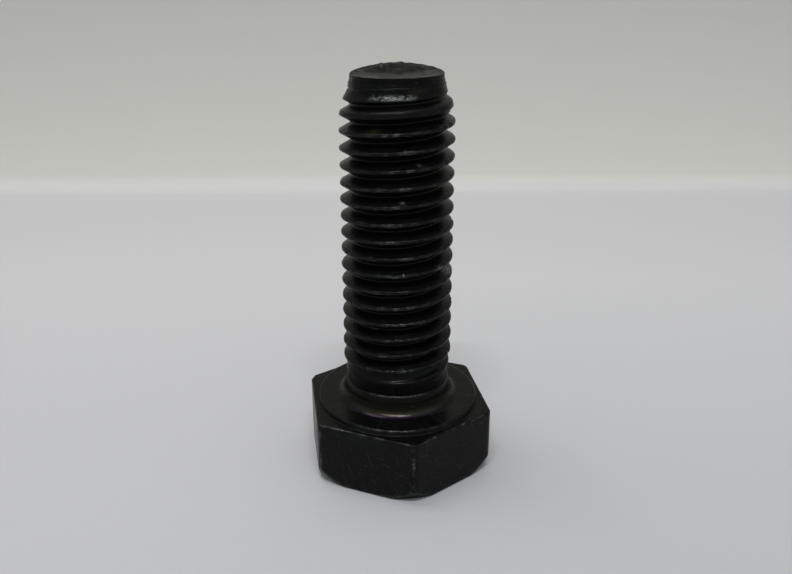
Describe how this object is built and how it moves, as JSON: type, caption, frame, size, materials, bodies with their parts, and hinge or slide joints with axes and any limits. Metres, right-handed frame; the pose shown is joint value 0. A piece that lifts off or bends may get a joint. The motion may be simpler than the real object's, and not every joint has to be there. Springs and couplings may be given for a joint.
{
  "type": "hex bolt",
  "caption": "Fully threaded hex head bolt with washer face, plain neck and pointed tip, in black-oxide steel.",
  "frame": {"origin": "centre of the bearing plane under the head", "axes": "+Z along the shank from the head to the tip, +X out of one wrench flat, +Y out of one corner of the hexagon"},
  "size_m": [0.016, 0.0182, 0.0364],
  "materials": {
    "black_oxide_steel": "black oxide on forged and thread-rolled steel, lightly oiled, worn bright on the edges"
  },
  "bodies": {
    "root": {"hex_bolt": "black_oxide_steel"}
  },
  "joints": []
}
